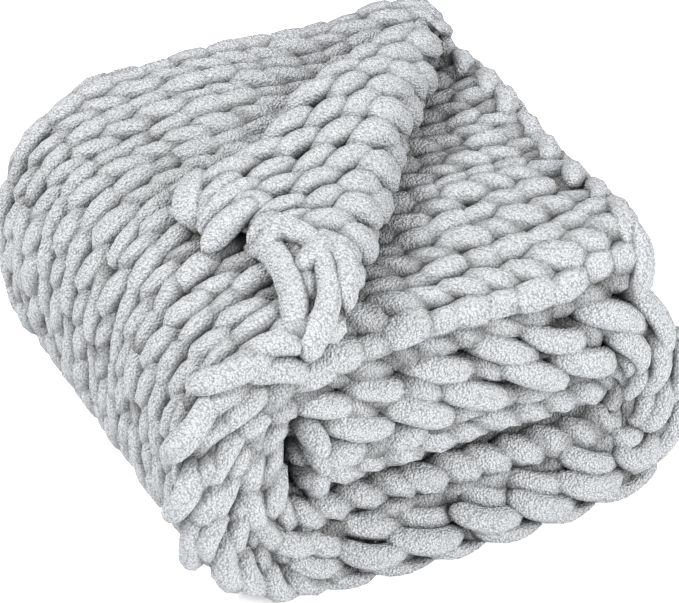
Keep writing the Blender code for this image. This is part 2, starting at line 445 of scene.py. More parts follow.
def chain(settings, rng, courses, pitch, wide, rows):
    """Yarn paths of a chained edge: one leg in each row for each link."""
    paths = []
    for course in range(courses):
        for row in rows:
            along = (course + 0.5 + row.phase) * pitch
            length = pitch * settings.link_overlap
            turn = math.radians(row.turn)
            paths.append(leg(settings, rng, wide * row.across, along, length, turn, settings.link_depth))
    return paths


def smooth_line(points, count):
    """Points on a smooth line through a few given ones."""
    points = np.array(points, dtype=float)
    ends = np.concatenate([2 * points[:1] - points[1:2], points, 2 * points[-1:] - points[-2:-1]])
    place = np.linspace(0, len(points) - 1, count)
    low = np.minimum(place.astype(int), len(points) - 2)
    share = (place - low)[:, None]
    first, second, third, fourth = (ends[low + step] for step in range(4))
    return 0.5 * (
        2 * second + (third - first) * share
        + (2 * first - 5 * second + 4 * third - fourth) * share ** 2
        + (3 * second - first - 3 * third + fourth) * share ** 3
    )


def add_curves(name, paths):
    """A curve object with one straight-pointed spline for each yarn path."""
    data = bpy.data.curves.new(name, 'CURVE')
    data.dimensions = '3D'
    for path in paths:
        spline = data.splines.new('POLY')
        count = len(path.across)
        spline.points.add(count - 1)
        places = np.stack([path.across, path.along, path.raised, np.ones(count)], axis=-1)
        spline.points.foreach_set("co", places.ravel())
        spline.points.foreach_set("radius", path.thick)
    yarn = bpy.data.objects.new(name, data)
    bpy.context.scene.collection.objects.link(yarn)
    return yarn


def add_sockets(tree, side, sockets):
    """Named inputs or outputs of a node tree, with their kinds and defaults."""
    for name, kind, default in sockets:
        socket = tree.interface.new_socket(name, in_out=side, socket_type=kind)
        if default is not None:
            socket.default_value = default


def set_inputs(node, values):
    """Set a node's own sockets."""
    for name, value in values.items():
        node.inputs[name].default_value = value


def add_node(tree, kind, values=None, **attributes):
    """A node of a tree, with its attributes and its own sockets' values."""
    node = tree.nodes.new(kind)
    for name, value in attributes.items():
        setattr(node, name, value)
    set_inputs(node, values or {})
    return node


def link_all(tree, links):
    """Link each output to its input."""
    for source, target in links:
        tree.links.new(source, target)


def yarn_tree():
    """Geometry nodes that sweep soft yarn along curves, with lumps in its surface."""
    name = "Chenille yarn"
    if name in bpy.data.node_groups:
        return bpy.data.node_groups[name]
    tree = bpy.data.node_groups.new(name, 'GeometryNodeTree')
    add_sockets(tree, 'INPUT', (
        ("Geometry", 'NodeSocketGeometry', None),
        ("Yarn radius", 'NodeSocketFloat', 0.0115),
        ("Sides", 'NodeSocketInt', 9),
        ("Lump height", 'NodeSocketFloat', 0.0012),
        ("Lumps per metre", 'NodeSocketFloat', 75.0),
        ("Seed", 'NodeSocketFloat', 0.0),
        ("Material", 'NodeSocketMaterial', None),
    ))
    add_sockets(tree, 'OUTPUT', (("Geometry", 'NodeSocketGeometry', None),))
    entry = add_node(tree, 'NodeGroupInput').outputs
    leave = add_node(tree, 'NodeGroupOutput').inputs
    circle = add_node(tree, 'GeometryNodeCurvePrimitiveCircle', {"Radius": 1.0})
    sweep = add_node(tree, 'GeometryNodeCurveToMesh', {"Fill Caps": True})
    own_radius = add_node(tree, 'GeometryNodeInputRadius')
    scale = add_node(tree, 'ShaderNodeMath', operation='MULTIPLY')
    noise = add_node(tree, 'ShaderNodeTexNoise', noise_dimensions='4D')
    set_inputs(noise, {"Detail": 1.0})
    centre = add_node(tree, 'ShaderNodeMath', {1: 0.5}, operation='SUBTRACT')
    height = add_node(tree, 'ShaderNodeMath', operation='MULTIPLY')
    normal = add_node(tree, 'GeometryNodeInputNormal')
    push = add_node(tree, 'ShaderNodeVectorMath', operation='SCALE')
    place = add_node(tree, 'GeometryNodeSetPosition')
    smooth = add_node(tree, 'GeometryNodeSetShadeSmooth')
    realize = add_node(tree, 'GeometryNodeRealizeInstances')
    finish = add_node(tree, 'GeometryNodeSetMaterial')
    link_all(tree, (
        (entry["Sides"], circle.inputs["Resolution"]),
        (own_radius.outputs[0], scale.inputs[0]),
        (entry["Yarn radius"], scale.inputs[1]),
        (entry["Geometry"], sweep.inputs["Curve"]),
        (circle.outputs["Curve"], sweep.inputs["Profile Curve"]),
        (scale.outputs[0], sweep.inputs["Scale"]),
        (entry["Lumps per metre"], noise.inputs["Scale"]),
        (entry["Seed"], noise.inputs["W"]),
        (noise.outputs["Fac"], centre.inputs[0]),
        (centre.outputs[0], height.inputs[0]),
        (entry["Lump height"], height.inputs[1]),
        (normal.outputs[0], push.inputs[0]),
        (height.outputs[0], push.inputs["Scale"]),
        (sweep.outputs["Mesh"], place.inputs["Geometry"]),
        (push.outputs[0], place.inputs["Offset"]),
        (place.outputs["Geometry"], smooth.inputs["Geometry"]),
        (smooth.outputs["Geometry"], realize.inputs["Geometry"]),
        (realize.outputs["Geometry"], finish.inputs["Geometry"]),
        (entry["Material"], finish.inputs["Material"]),
        (finish.outputs["Geometry"], leave["Geometry"]),
    ))
    return tree


def modifier_input(modifier, name):
    """The identifier of a node modifier's input, from its name."""
    for item in modifier.node_group.interface.items_tree:
        if item.item_type == 'SOCKET' and item.in_out == 'INPUT' and item.name == name:
            return item.identifier
    raise KeyError(name)


def sweep_yarn(name, paths, settings, seed, lumpy=1.0):
    """The yarn along the paths as a plain mesh, still flat, made by the node tree."""
    curves = add_curves(name + "_path", paths)
    modifier = curves.modifiers.new("Yarn", 'NODES')
    modifier.node_group = yarn_tree()
    values = {
        "Yarn radius": settings.yarn_thickness / 2,
        "Sides": settings.yarn_sides,
        "Lump height": settings.lump_height * lumpy,
        "Lumps per metre": settings.lumps_per_metre,
        "Seed": float(seed),
        "Material": yarn_material(),
    }
    for label, value in values.items():
        modifier[modifier_input(modifier, label)] = value
    curves.update_tag()
    depsgraph = bpy.context.evaluated_depsgraph_get()
    data = bpy.data.meshes.new_from_object(curves.evaluated_get(depsgraph), depsgraph=depsgraph)
    bpy.data.objects.remove(curves, do_unlink=True)
    data.name = name
    return data


def mesh_points(data):
    """A mesh's vertex positions."""
    points = np.empty(len(data.vertices) * 3)
    data.vertices.foreach_get("co", points)
    return points.reshape(-1, 3)


def set_mesh_points(data, points):
    """Move a mesh's vertices."""
    data.vertices.foreach_set("co", np.ascontiguousarray(points, dtype=float).ravel())
    data.update()


def face_outward(data):
    """Turn a closed mesh's faces outward."""
    data.calc_loop_triangles()
    corners = np.empty(len(data.loop_triangles) * 3, dtype=np.int32)
    data.loop_triangles.foreach_get("vertices", corners)
    triangles = mesh_points(data)[corners].reshape(-1, 3, 3)
    middle = triangles.mean(axis=(0, 1))
    first, second, third = (triangles[:, index] - middle for index in range(3))
    if np.einsum("ij,ij->", first, np.cross(second, third)) < 0:
        data.flip_normals()


def hemisphere(count):
    """Directions spread evenly over a dome, more of them near its top."""
    index = np.arange(count) + 0.5
    turn = index * math.pi * (3 - math.sqrt(5))
    flat = np.sqrt(index / count)
    return np.stack([flat * np.cos(turn), flat * np.sin(turn), np.sqrt(1 - flat * flat)], axis=-1)


def store_openness(pieces):
    """Keep, for the material, how open each point lies: 0 deep in a gap of the knit, 1 on a stitch's back;
    the material paints shade from it.
    """
    corners, faces, first = [], [], 0
    for piece in pieces:
        points = mesh_points(piece.data)
        corners.extend(map(tuple, points))
        faces.extend(tuple(first + index for index in face.vertices) for face in piece.data.polygons)
        first += len(points)
    tree = BVHTree.FromPolygons(corners, faces)
    dome = hemisphere(RAYS)
    for piece in pieces:
        data = piece.data
        points = mesh_points(data)
        normals = np.empty(len(points) * 3)
        data.vertex_normals.foreach_get("vector", normals)
        normals = normals.reshape(-1, 3)
        helper = np.where(np.abs(normals[:, 2:]) < 0.9, (0.0, 0.0, 1.0), (1.0, 0.0, 0.0))
        side = np.cross(helper, normals)
        side /= np.maximum(np.linalg.norm(side, axis=1, keepdims=True), 1e-9)
        other = np.cross(normals, side)
        starts = [Vector(point) for point in points + normals * RAY_START]
        total = np.zeros(len(points))
        for ray in dome:
            directions = ray[0] * side + ray[1] * other + ray[2] * normals
            for index, (start, direction) in enumerate(zip(starts, directions)):
                distance = tree.ray_cast(start, direction, RAY_REACH)[3]
                total[index] += 1.0 if distance is None else distance / RAY_REACH
        values = smoothed(data, total / RAYS)
        layer = data.attributes.new("open", 'FLOAT', 'POINT')
        layer.data.foreach_set("value", np.ascontiguousarray(values, dtype=np.float32))


def smoothed(data, values):
    """Values at a mesh's points, each mixed with its neighbours'."""
    pairs = np.empty(len(data.edges) * 2, dtype=np.int32)
    data.edges.foreach_get("vertices", pairs)
    first, second = pairs[::2], pairs[1::2]
    total, count = values.copy(), np.ones(len(values))
    for start, end in ((first, second), (second, first)):
        np.add.at(total, start, values[end])
        np.add.at(count, start, 1.0)
    return total / count


def add_piece(name, data):
    """A finished piece of the blanket, on its one body."""
    face_outward(data)
    piece = bpy.data.objects.new(name, data)
    bpy.context.scene.collection.objects.link(piece)
    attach(piece, "root")
    return piece


def pile_group():
    """Short soft pile: colour in its tufts and painted shade between them, painted shade in the knit's gaps,
    and its height.
    """
    name = "Chenille pile"
    if name in bpy.data.node_groups:
        return bpy.data.node_groups[name]
    group = bpy.data.node_groups.new(name, 'ShaderNodeTree')
    add_sockets(group, 'INPUT', (
        ("Colour", 'NodeSocketColor', (0.6, 0.6, 0.6, 1.0)),
        ("Tuft shade colour", 'NodeSocketColor', (0.3, 0.3, 0.35, 1.0)),
        ("Tufts per metre", 'NodeSocketFloat', 620.0),
        ("Recess shade", 'NodeSocketFloat', 0.2),
    ))
    add_sockets(group, 'OUTPUT', (("Colour", 'NodeSocketColor', None), ("Height", 'NodeSocketFloat', None)))
    entry = add_node(group, 'NodeGroupInput').outputs
    leave = add_node(group, 'NodeGroupOutput').inputs
    place = add_node(group, 'ShaderNodeTexCoord').outputs["Object"]
    tufts = add_node(group, 'ShaderNodeTexVoronoi', feature='F1')
    fine = add_node(group, 'ShaderNodeTexNoise', {"Detail": 3.0, "Roughness": 0.65})
    finer = add_node(group, 'ShaderNodeMath', {1: 1.3}, operation='MULTIPLY')
    broad = add_node(group, 'ShaderNodeTexNoise', {"Scale": 9.0, "Detail": 2.0})
    hollow = add_node(group, 'ShaderNodeMath', {1: 0.9}, operation='MULTIPLY')
    height = add_node(group, 'ShaderNodeMath', operation='SUBTRACT')
    # Painted shade between the tufts: where the pile lies low, its colour mixes towards the second, darker
    # colour
    deep = add_node(group, 'ShaderNodeMapRange', {"From Min": -0.22, "From Max": 0.16})
    tint = add_node(group, 'ShaderNodeMix', data_type='RGBA')
    shade = add_node(group, 'ShaderNodeMapRange', {"To Min": 0.93, "To Max": 1.05})
    vary = add_node(group, 'ShaderNodeVectorMath', operation='SCALE')
    # Painted shade in the knit's gaps: the colour is scaled down where the 'open' attribute is low, down to
    # the recess shade share
    proud = add_node(group, 'ShaderNodeAttribute', attribute_name="open")
    painted_gap_shade = add_node(group, 'ShaderNodeMapRange', {"From Min": 0.30, "From Max": 0.70})
    darker = add_node(group, 'ShaderNodeVectorMath', operation='SCALE')
    link_all(group, (
        (place, tufts.inputs["Vector"]),
        (place, fine.inputs["Vector"]),
        (place, broad.inputs["Vector"]),
        (entry["Tufts per metre"], tufts.inputs["Scale"]),
        (entry["Tufts per metre"], finer.inputs[0]),
        (finer.outputs[0], fine.inputs["Scale"]),
        (tufts.outputs["Distance"], hollow.inputs[0]),
        (fine.outputs["Fac"], height.inputs[0]),
        (hollow.outputs[0], height.inputs[1]),
        (height.outputs[0], deep.inputs["Value"]),
        (deep.outputs["Result"], tint.inputs["Factor"]),
        (entry["Tuft shade colour"], tint.inputs[6]),
        (entry["Colour"], tint.inputs[7]),
        (broad.outputs["Fac"], shade.inputs["Value"]),
        (tint.outputs[2], vary.inputs[0]),
        (shade.outputs["Result"], vary.inputs["Scale"]),
        (proud.outputs["Fac"], painted_gap_shade.inputs["Value"]),
        (entry["Recess shade"], painted_gap_shade.inputs["To Min"]),
        (vary.outputs[0], darker.inputs[0]),
        (painted_gap_shade.outputs["Result"], darker.inputs["Scale"]),
        (darker.outputs[0], leave["Colour"]),
        (height.outputs[0], leave["Height"]),
    ))
    return group


def pile_material(name, colour, tuft_shade_colour):
    """A new material in the pile's colour and its colour of painted shade between tufts, with its shader and
    its pile node.
    """
    material = bpy.data.materials.new(name)
    material.use_nodes = True
    tree = material.node_tree
    shader = tree.nodes["Principled BSDF"]
    pile = add_node(tree, 'ShaderNodeGroup', node_tree=pile_group())
    set_inputs(pile, {"Colour": (*colour, 1.0), "Tuft shade colour": (*tuft_shade_colour, 1.0)})
    tree.links.new(pile.outputs["Colour"], shader.inputs["Base Color"])
    return material, shader, pile


def yarn_material():
    """Grey chenille yarn: matte, with short pile, a soft sheen, and painted shade between its tufts and in
    the knit's gaps.
    """
    name = "Grey chenille"
    if name in bpy.data.materials:
        return bpy.data.materials[name]
    settings = bpy.context.scene.blanket_yarn
    material, shader, pile = pile_material(name, settings.colour, settings.tuft_shade_colour)
    set_inputs(shader, {
        "Roughness": 0.92,
        "Specular IOR Level": 0.15,
        "Sheen Weight": 0.35,
        "Sheen Roughness": 0.6,
    })
    set_inputs(pile, {"Tufts per metre": settings.tufts_per_metre, "Recess shade": settings.recess_shade})
    tree = material.node_tree
    bump = add_node(tree, 'ShaderNodeBump', {"Strength": 1.0, "Distance": settings.pile_height})
    tree.links.new(pile.outputs["Height"], bump.inputs["Height"])
    tree.links.new(bump.outputs["Normal"], shader.inputs["Normal"])
    return material


# Shares of the yarn's colours for a darker copy of its material: painted shade on the sheet seen between
# stitches
SHADED_COPY_SHARE, SHADED_COPY_TUFT_SHARE = 0.7, 0.5


def painted_shade_material():
    """Painted shade: a darker copy of the yarn's material for the sheet inside the knit, seen only between
    stitches.
    """
    name = "Grey chenille painted shade"
    if name in bpy.data.materials:
        return bpy.data.materials[name]
    settings = bpy.context.scene.blanket_yarn
    colour = [value * SHADED_COPY_SHARE for value in settings.colour]
    tuft_shade_colour = [value * SHADED_COPY_TUFT_SHARE for value in settings.tuft_shade_colour]
    material, shader, _ = pile_material(name, colour, tuft_shade_colour)
    set_inputs(shader, {"Roughness": 1.0})
    return material


class Patch(NamedTuple):
    """A part of the cloth that is knitted on its own: tables from yarn lengths to the sheet's u and v."""

    along_yarn: np.ndarray
    along_sheet: np.ndarray
    across_yarn: np.ndarray
    across_sheet: np.ndarray

    def on_sheet(self, across, along):
        """The sheet's u and v at the patch's own places."""
        u = beyond(along, self.along_yarn, self.along_sheet)
        return u, beyond(across, self.across_yarn, self.across_sheet)


def wrap_table(offset):
    """Length along the cloth at a given offset from the middle layer, against the middle layer's own."""
    u = np.linspace(0.0, LENGTH, WRAP_STEPS)
    x, z, normal_x, normal_z = spine_at(u)
    steps = np.hypot(np.diff(x + offset * normal_x), np.diff(z + offset * normal_z))
    return np.concatenate([[0.0], np.cumsum(steps)]), u


def across_table(start, end):
    """Length across the cloth at its stitches' own height, against v, from v = start to v = end."""
    v = np.linspace(start, end, TABLE_STEPS)
    middle = (v[1:] + v[:-1]) / 2
    back = (middle > OUTER_END) & (middle < BACK_FOLD_END)
    front = (middle > INNER_END) & (middle < FRONT_FOLD_END)
    on_back, on_front = (PITCH + LEG_HEIGHT) / PITCH, (PITCH / 2 + LEG_HEIGHT) / (PITCH / 2)
    stretch = np.where(back, on_back, np.where(front, on_front, 1.0))
    return np.concatenate([[0.0], np.cumsum(np.diff(v) * stretch)]), v


def beyond(value, table_from, table_to):
    """Table lookup that goes straight on past both ends."""
    held = np.clip(value, table_from[0], table_from[-1])
    return np.interp(held, table_from, table_to) + (value - held)


def split_paths(paths, patch, keep):
    """The stretches of each path at whose u and v keep is true, each at least a few points long."""
    pieces = []
    for path in paths:
        wanted = keep(*patch.on_sheet(path.across, path.along))
        edges = np.flatnonzero(np.diff(np.concatenate([[0], wanted.astype(int), [0]])))
        for start, end in zip(edges[::2], edges[1::2]):
            if end - start > 4:
                pieces.append(Course(*[values[start:end] for values in path]))
    return pieces


def knit_patch(settings, patch, seed):
    """Yarn paths that fill a patch, with whole wales and courses of nearly the set sizes."""
    reach_along, reach_across = patch.along_yarn[-1], patch.across_yarn[-1]
    wales = round(reach_across / settings.wale_width)
    courses = round(reach_along / settings.course_height)
    rng = np.random.default_rng(seed)
    return knit(settings, rng, courses, wales, reach_along / courses, reach_across / wales)


def knit_pieces(settings, patch, seed, keep, names):
    """Knit a patch where keep is true and fold it, as one piece for each name with its share of rows."""
    paths = split_paths(knit_patch(settings, patch, seed), patch, keep)
    cuts = [len(paths) * index // len(names) for index in range(len(names) + 1)]
    for name, start, end in zip(names, cuts, cuts[1:]):
        data = sweep_yarn(name, paths[start:end], settings, seed)
        points = mesh_points(data)
        u, v = patch.on_sheet(points[:, 0], points[:, 1])
        set_mesh_points(data, fold_sheet(u, v, points[:, 2] * SQUASH))
        add_piece(name, data)


def length_setting(name, description, default):
    """A length that a user may change."""
    return FloatProperty(name=name, description=description, default=default, min=0.0, unit='LENGTH')


class YarnSettings(bpy.types.PropertyGroup):
    """Sizes and colours of the yarn and its stitches, and the colour and depth of its painted shade."""

    yarn_thickness: length_setting("Yarn thickness", "Thickness of the yarn in the stitch", 0.0248)
    wale_width: length_setting("Wale width", "Width of one column of stitches", 0.0475)
    course_height: length_setting("Course height", "Height of one row of stitches", 0.0335)
    loop_height: length_setting("Loop height", "From a loop's foot to its head", 0.063)
    loop_depth: length_setting("Loop depth", "How far a loop weaves to each side of the cloth", 0.0085)
    leg_lean: FloatProperty(
        name="Leg lean", description="Lean of the stitch's legs, as a share of the wale width", default=0.165)
    leg_skew: FloatProperty(
        name="Leg skew", description="How far both legs of a stitch slant one way, for each metre along",
        default=0.20)
    unevenness: length_setting("Unevenness", "How far stitches stray from their places", 0.0046)
    link_depth: length_setting("Link depth", "How proud the border's links stand", 0.0085)
    link_overlap: FloatProperty(
        name="Link overlap", description="Length of a link's leg, as a share of its pitch", default=1.35)
    bump_pitch: length_setting("Bump pitch", "From bump to bump along a purl row", 0.0460)
    bump_rows: length_setting("Bump rows", "From purl row to purl row", 0.0235)
    bump_length: length_setting("Bump length", "Length of a purl bump with its hidden ends", 0.061)
    bump_turn: FloatProperty(
        name="Bump turn", description="Turn of a purl bump from its row", default=math.radians(17),
        subtype='ANGLE')
    bump_depth: length_setting("Bump depth", "How proud a purl bump stands", 0.0070)
    lump_height: length_setting("Lump height", "Height of the yarn's soft lumps", 0.0024)
    lumps_per_metre: FloatProperty(
        name="Lumps per metre", description="How close the yarn's lumps are", default=75.0)
    yarn_sides: IntProperty(name="Yarn sides", description="Sides of the yarn's section", default=9, min=5)
    tufts_per_metre: FloatProperty(
        name="Tufts per metre", description="How close the pile's tufts are", default=420.0)
    # Recess shade is painted shade: the share of the yarn's colour left where the knit's gaps are deepest
    recess_shade: FloatProperty(
        name="Recess shade", description="How dark the pile is deep between stitches", default=0.08,
        subtype='FACTOR')
    pile_height: length_setting("Pile height", "Height of the short pile", 0.0100)
    colour: FloatVectorProperty(
        name="Colour", description="Colour of the yarn", default=(0.88, 0.90, 0.92), subtype='COLOR')
    # Painted shade: the colour in the pile's hollows between the tufts
    tuft_shade_colour: FloatVectorProperty(
        name="Tuft shade colour", description="Colour between the tufts", default=(0.45, 0.48, 0.52),
        subtype='COLOR')


class StageSettings(bpy.types.PropertyGroup):
    """Camera angle, floor and light."""

    azimuth: FloatProperty(
        name="Azimuth", description="Camera direction round the bundle", default=math.radians(-28.2),
        subtype='ANGLE')
    elevation: FloatProperty(
        name="Elevation", description="Camera height above the bundle", default=math.radians(39.5),
        subtype='ANGLE')
    distance: FloatProperty(
        name="Distance", description="Camera distance", default=3.08, unit='LENGTH')
    lens: FloatProperty(name="Lens", description="Focal length in millimetres", default=175.3)
    light: FloatProperty(name="Light", description="Strength of the soft light", default=1.0)


class BLANKET_OT_cloth(bpy.types.Operator):
    """Make the thin sheet inside the knit, folded as the blanket is, in a darker copy of the yarn's material
    that paints shade between stitches
    """

    bl_idname = "blanket.cloth"
    bl_label = "Folded cloth"

    thickness: FloatProperty(name="Thickness", description="Thickness of the sheet", default=0.003,
                             unit='LENGTH')

    def execute(self, context):
        mesh = bmesh.new()
        along, across = CLOTH_GRID
        bmesh.ops.create_grid(mesh, x_segments=along - 1, y_segments=across - 1, size=0.5)
        data = bpy.data.meshes.new("folded_cloth")
        mesh.to_mesh(data)
        mesh.free()
        points = mesh_points(data)
        u = (points[:, 0] + 0.5) * LENGTH
        v = (points[:, 1] + 0.5) * WIDTH
        set_mesh_points(data, fold_sheet(u, v, np.zeros(len(u))))
        data.shade_smooth()
        # The sheet's material is painted shade: a darker copy of the yarn's, seen in the gaps between
        # stitches
        data.materials.append(painted_shade_material())
        cloth = add_piece("folded_cloth", data)
        solid = cloth.modifiers.new("Thickness", 'SOLIDIFY')
        solid.thickness = self.thickness
        solid.offset = 0.0
        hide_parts("blanket")
        return {'FINISHED'}


class BLANKET_OT_outer_knit(bpy.types.Operator):
    """Knit the outer layer and the back fold"""

    bl_idname = "blanket.outer_knit"
    bl_label = "Outer layer"
    makes = ("outer_knit_top", "outer_knit_ground")

    def execute(self, context):
        patch = Patch(*wrap_table(PITCH + LEG_HEIGHT), *across_table(0.0, BACK_FOLD_END + SEAM_OVERLAP))

        def kept(u, v):
            place = np.stack([TOP_END_X - u, FRONT_Y + v], axis=-1) - ROLL_START
            return (v > OUTER_END) | (place @ ROLL_TOWARD < ROLL_RADIUS)

        knit_pieces(context.scene.blanket_yarn, patch, SEED_OUTER, kept, self.makes)
        return {'FINISHED'}


class BLANKET_OT_inner_knit(bpy.types.Operator):
    """Knit the front fold and the middle layer"""

    bl_idname = "blanket.inner_knit"
    bl_label = "Inner layers"
    makes = ("inner_knit",)

    def execute(self, context):
        patch = Patch(*wrap_table(-PITCH / 2), *across_table(BACK_FOLD_END, WIDTH))

        def kept(u, v):
            return (u < TOP_SHOWS) | (v > INNER_END - SEAM_OVERLAP)

        knit_pieces(context.scene.blanket_yarn, patch, SEED_INNER, kept, self.makes)
        return {'FINISHED'}


def corner_frame():
    """The turned corner's own flat frame: its tip, along its outer edge, inward, and its length."""
    tip, back = np.array(TIP), np.array(ROLL_BACK)
    length = np.linalg.norm(back - tip)
    along = (back - tip) / length
    return tip, along, np.array([along[1], -along[0]]), length


CORNER_TIP, CORNER_ALONG, CORNER_IN, CORNER_LENGTH = corner_frame()

# The turned corner's rows of bumps, and the ends of its loose strands
CORNER_BOW = 0.016
CORNER_ROWS, CORNER_COLUMNS = 13, 12
CORNER_END = 0.445
FIRST_BUMPS = 0.004
TURN_U = TOP_END_X - ROLL_FRONT[0]
TURN_V = ROLL_BACK[1] - FRONT_Y
STRAND_DIVE, ROUND_END, STRAND_END = 0.014, 0.012, 0.12
STRAND_LUMPS = 1.6
STRAND_POINTS = 10


class Strand(NamedTuple):
    """A strand of the turned corner's loose front edge: its thickness, and (x, y, height) along it."""

    thick: float
    points: tuple


STRANDS = (
    Strand(0.90, (
        (-0.147, -0.084, 0.026), (-0.136, -0.070, 0.032), (-0.121, -0.081, 0.036), (-0.110, -0.107, 0.030))),
    Strand(0.92, (
        (-0.138, -0.116, 0.027), (-0.127, -0.111, 0.035), (-0.114, -0.133, 0.038), (-0.104, -0.158, 0.036),
        (-0.106, -0.184, 0.031), (-0.117, -0.208, 0.022), (-0.134, -0.221, 0.010), (-0.148, -0.221, -0.004))),
    Strand(0.88, (
        (-0.136, -0.099, 0.019), (-0.132, -0.134, 0.026), (-0.134, -0.166, 0.025), (-0.141, -0.197, 0.018),
        (-0.153, -0.220, 0.004))),
    Strand(0.92, (
        (-0.133, -0.008, 0.024), (-0.148, -0.022, 0.028), (-0.156, -0.040, 0.029), (-0.154, -0.062, 0.025))),
    Strand(0.92, (
        (-0.152, -0.074, 0.024), (-0.145, -0.056, 0.032), (-0.128, -0.044, 0.035), (-0.112, -0.040, 0.028))),
    Strand(0.84, (
        (-0.122, -0.122, 0.018), (-0.116, -0.148, 0.025), (-0.119, -0.176, 0.022), (-0.130, -0.201, 0.012))),
    Strand(0.92, (
        (-0.110, -0.140, 0.026), (-0.092, -0.164, 0.036), (-0.088, -0.190, 0.033), (-0.102, -0.210, 0.022))),
)


def corner_plan(across, along):
    """Plan positions on the turned corner: across follows its bowed outer edge, along is in from it."""
    share = across / CORNER_LENGTH
    bow = CORNER_BOW * 4 * np.clip(share * (1 - share), 0.0, None)
    return CORNER_TIP + across[:, None] * CORNER_ALONG + (along + bow)[:, None] * CORNER_IN


def place_on_corner(points):
    """Fold the turned corner's flat points: across is along its outer edge, along is in from that edge."""
    lift = points[:, 2] * SQUASH
    place = corner_plan(points[:, 0], points[:, 1]) - ROLL_START
    distance, along = place @ ROLL_TOWARD, place @ ROLL_ALONG
    tip_distance = (CORNER_TIP - ROLL_START) @ ROLL_TOWARD
    angle = np.clip(distance / ROLL_RADIUS, 0.0, math.pi)
    side = np.where(distance < 0, distance, (ROLL_RADIUS + lift) * np.sin(angle))
    flat_height = flap_height(distance / tip_distance) + lift
    height = np.where(distance < 0, flat_height, ROLL_RADIUS + (ROLL_RADIUS + lift) * np.cos(angle))
    plan = ROLL_START + along[:, None] * ROLL_ALONG + side[:, None] * ROLL_TOWARD
    return on_wrap(TOP_END_X - plan[:, 0], plan[:, 1], PITCH + height - let_down(along))


class BLANKET_OT_turned_corner(bpy.types.Operator):
    """Knit the turned-back corner, purl side up"""

    bl_idname = "blanket.turned_corner"
    bl_label = "Turned corner"
    makes = ("turned_corner",)

    def execute(self, context):
        settings = context.scene.blanket_yarn
        rng = np.random.default_rng(SEED_CORNER)
        front = ROLL_START - CORNER_TIP
        inward = np.array([front[1], -front[0]]) / np.linalg.norm(front)
        inward = inward * np.sign(inward @ CORNER_ALONG)
        paths = []
        for row in range(CORNER_ROWS):
            for column in range(CORNER_COLUMNS):
                across = (column + 0.5 * (row % 2)) * settings.bump_pitch
                along = row * settings.bump_rows + FIRST_BUMPS
                plan = corner_plan(np.array([across]), np.array([along]))[0]
                place = plan - ROLL_START
                inside = (plan - CORNER_TIP) @ inward > FIRST_BUMPS
                if inside and place @ ROLL_TOWARD < ROLLED and place @ ROLL_ALONG < CORNER_END:
                    paths.append(leg(settings, rng, across, along, settings.bump_length,
                                     math.pi / 2 - settings.bump_turn, settings.bump_depth, BUMP_STRAY))
        data = sweep_yarn("turned_corner", paths, settings, SEED_CORNER)
        set_mesh_points(data, place_on_corner(mesh_points(data)))
        strands = [strand_path(strand) for strand in STRANDS]
        loose = sweep_yarn("strands", strands, settings, SEED_CORNER, STRAND_LUMPS)
        points = mesh_points(loose)
        set_mesh_points(loose, on_wrap(TOP_END_X - points[:, 0], points[:, 1], PITCH + points[:, 2]))
        face_outward(data)
        face_outward(loose)
        add_piece("turned_corner", merge_data("turned_corner", (data, loose)))
        return {'FINISHED'}


def strand_path(strand):
    """A strand's smooth path in plan and height, that dives at both ends."""
    line = smooth_line(strand.points, STRAND_POINTS * len(strand.points))
    share = np.linspace(0, 1, len(line))
    dive = STRAND_DIVE * (np.abs(2 * share - 1) ** 6)
    steps = np.linalg.norm(np.diff(line, axis=0), axis=1)
    length = np.concatenate([[0.0], np.cumsum(steps)])
    from_end = np.minimum(length, length[-1] - length) / ROUND_END
    end = 1 - np.clip(from_end, 0.0, 1.0)
    thick = strand.thick * (STRAND_END + (1 - STRAND_END) * np.sqrt(1 - end * end))
    return Course(line[:, 0], line[:, 1], line[:, 2] - dive, thick)


class Row(NamedTuple):
    """One row of legs in a border: its place across as a share of the width, its phase and its turn."""

    across: float
    phase: float
    turn: float


class Border(NamedTuple):
    """One border chain: its edge of the sheet, from where to where, its link, and how it is turned."""

    name: str
    edge: str
    start: float
    end: float
    pitch: float
    wide: float
    tilt: float
    insets: tuple
    rows: tuple


SIDE_INSETS = ((0.36, 0.008), (0.48, 0.014), (0.56, 0.024), (0.60, 0.018), (0.65, -0.001), (0.75, -0.008),
               (0.82, -0.008), (0.90, -0.003), (0.96, 0.002), (1.10, 0.002), (1.36, 0.010))
INNER_INSETS = ((0.40, 0.012), (0.56, 0.024), (0.64, 0.010), (0.90, 0.004), (1.10, 0.010))
END_INSETS = ((0.0, -0.003), (WIDTH, -0.003))
TWISTED = (Row(-0.34, 0.0, 24), Row(0.34, 0.5, 24))
BRAIDED = (Row(-0.26, 0.0, 18), Row(0.26, 0.0, -18))


BORDERS = {
    "side_border": (
        Border("side", 'side', TURN_U + 0.01, LENGTH, 0.058, 0.038, 12, SIDE_INSETS, TWISTED),
        Border("side_inner", 'side', 0.40, 1.10, 0.055, 0.038, 0, INNER_INSETS, (Row(-0.74, 0.2, 20),)),
    ),
    "bound_off_border": (
        Border("end_inner", 'end', BACK_FOLD_END, WIDTH, 0.042, 0.034, 35, END_INSETS, BRAIDED),
        Border("start_outer", 'start', 0.0, 0.09, 0.042, 0.030, 35, END_INSETS, BRAIDED),
        Border("start_fold", 'start', INNER_END - 0.05, FRONT_FOLD_END + 0.05, 0.040, 0.026, 35,
               END_INSETS, BRAIDED),
        Border("end_outer", 'end', TURN_V + 0.03, BACK_FOLD_END, 0.042, 0.034, 35, END_INSETS, BRAIDED),
    ),
}


def on_edge(edge, place, inward, w):
    """World positions near one edge of the sheet: 'side' is v = 0, 'end' is u = 0, 'start' is u = LENGTH."""
    if edge == 'side':
        return fold_sheet(place, inward, w)
    if edge == 'end':
        return fold_sheet(inward, place, w)
    return fold_sheet(LENGTH - inward, place, w)


